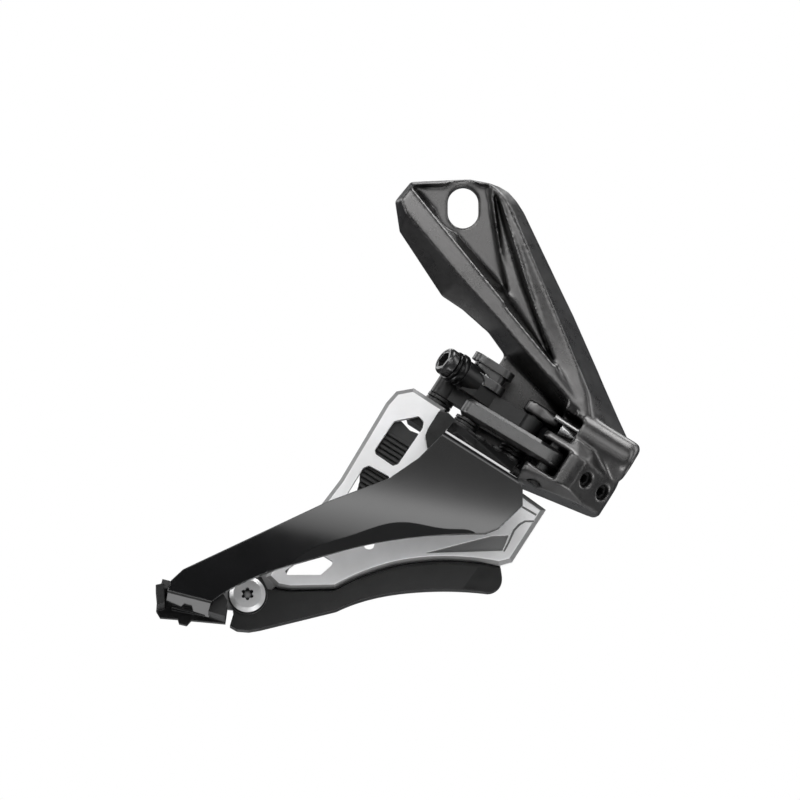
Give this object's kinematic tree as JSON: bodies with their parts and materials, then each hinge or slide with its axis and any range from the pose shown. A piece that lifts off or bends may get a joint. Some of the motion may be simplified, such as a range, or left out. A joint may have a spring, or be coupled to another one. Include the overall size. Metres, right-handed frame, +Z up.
{
  "type": "front derailleur",
  "caption": "Side-swing front derailleur with a slotted direct-mount arm, parallelogram links, cable clamp and a two-plate chain cage.",
  "frame": {"origin": "centre of the mounting slot on the face that lies against the bicycle frame", "axes": "+X forwards on the bicycle, +Y inboard out of the mounting face towards the frame, +Z up along the mounting slot"},
  "size_m": [0.1078, 0.0261, 0.1025],
  "materials": {
    "arm_grey": "satin dark anodised forging",
    "link_grey": "satin dark anodised",
    "link_silver": "satin anodised",
    "bronze": "plain bearing",
    "black_steel": "black oxide",
    "steel": "bright steel",
    "black_plate": "black, half gloss",
    "silver_plate": "satin silver",
    "bracket_black": "satin dark anodised",
    "resin": "black glass-filled resin"
  },
  "bodies": {
    "arm": {"mount_arm": "arm_grey", "front_outer_pin": "steel", "front_inner_pin": "steel", "return_spring": "steel", "cable_guide_tube": "steel", "guide_screw": "steel"},
    "low_limit_screw": {"low_limit_screw": "black_steel"},
    "high_limit_screw": {"high_limit_screw": "black_steel"},
    "outer_link": {"outer_link": "link_grey", "outer_link_bushes": "bronze"},
    "inner_link": {"inner_link": "link_silver", "inner_link_bushes": "bronze", "cable_cam": "black_steel", "cable_clamp_bolt": "black_steel", "cable_clamp_washer": "black_steel"},
    "cage": {"cage_bracket": "bracket_black", "outer_cage_plate": "black_plate", "inner_cage_plate": "silver_plate", "chain_skid": "resin", "tail_block": "resin", "skid_screw": "steel", "ribbed_pad": "resin", "flange_rivets": "black_steel", "bracket_screws": "steel", "tail_rivet": "steel", "rear_outer_pin": "steel", "rear_inner_pin": "steel", "pivot_washers": "steel"}
  },
  "joints": [
    {"name": "outer_link_hinge", "type": "hinge", "parent": "arm", "child": "outer_link", "pos_m": [0.01931, -0.018, -0.05772], "axis": [0.5373, 0, 0.8434], "range_deg": [0, 25], "stiffness_Nm_per_rad": 0.5, "springref_deg": -17.19},
    {"name": "inner_link_hinge", "type": "hinge", "parent": "arm", "child": "inner_link", "pos_m": [0.01393, -0.009, -0.05073], "axis": [0.5373, 0, 0.8434], "range_deg": [0, 25]},
    {"name": "cage_hinge", "type": "hinge", "parent": "outer_link", "child": "cage", "pos_m": [0.00243, -0.01356, -0.04696], "axis": [0.5373, 0, 0.8434], "range_deg": [-25, 0]},
    {"name": "low_limit_screw_turn", "type": "hinge", "parent": "arm", "child": "low_limit_screw", "pos_m": [0.02753, -0.0195, -0.06307], "axis": [0.626, -0.6702, -0.3988], "range_deg": [-360, 360]},
    {"name": "high_limit_screw_turn", "type": "hinge", "parent": "arm", "child": "high_limit_screw", "pos_m": [0.03115, -0.0147, -0.06538], "axis": [0.626, -0.6702, -0.3988], "range_deg": [-360, 360]}
  ],
  "couplings": [
    {"joint": "inner_link_hinge", "follows": "outer_link_hinge", "ratio": 1},
    {"joint": "cage_hinge", "follows": "outer_link_hinge", "ratio": -1}
  ]
}
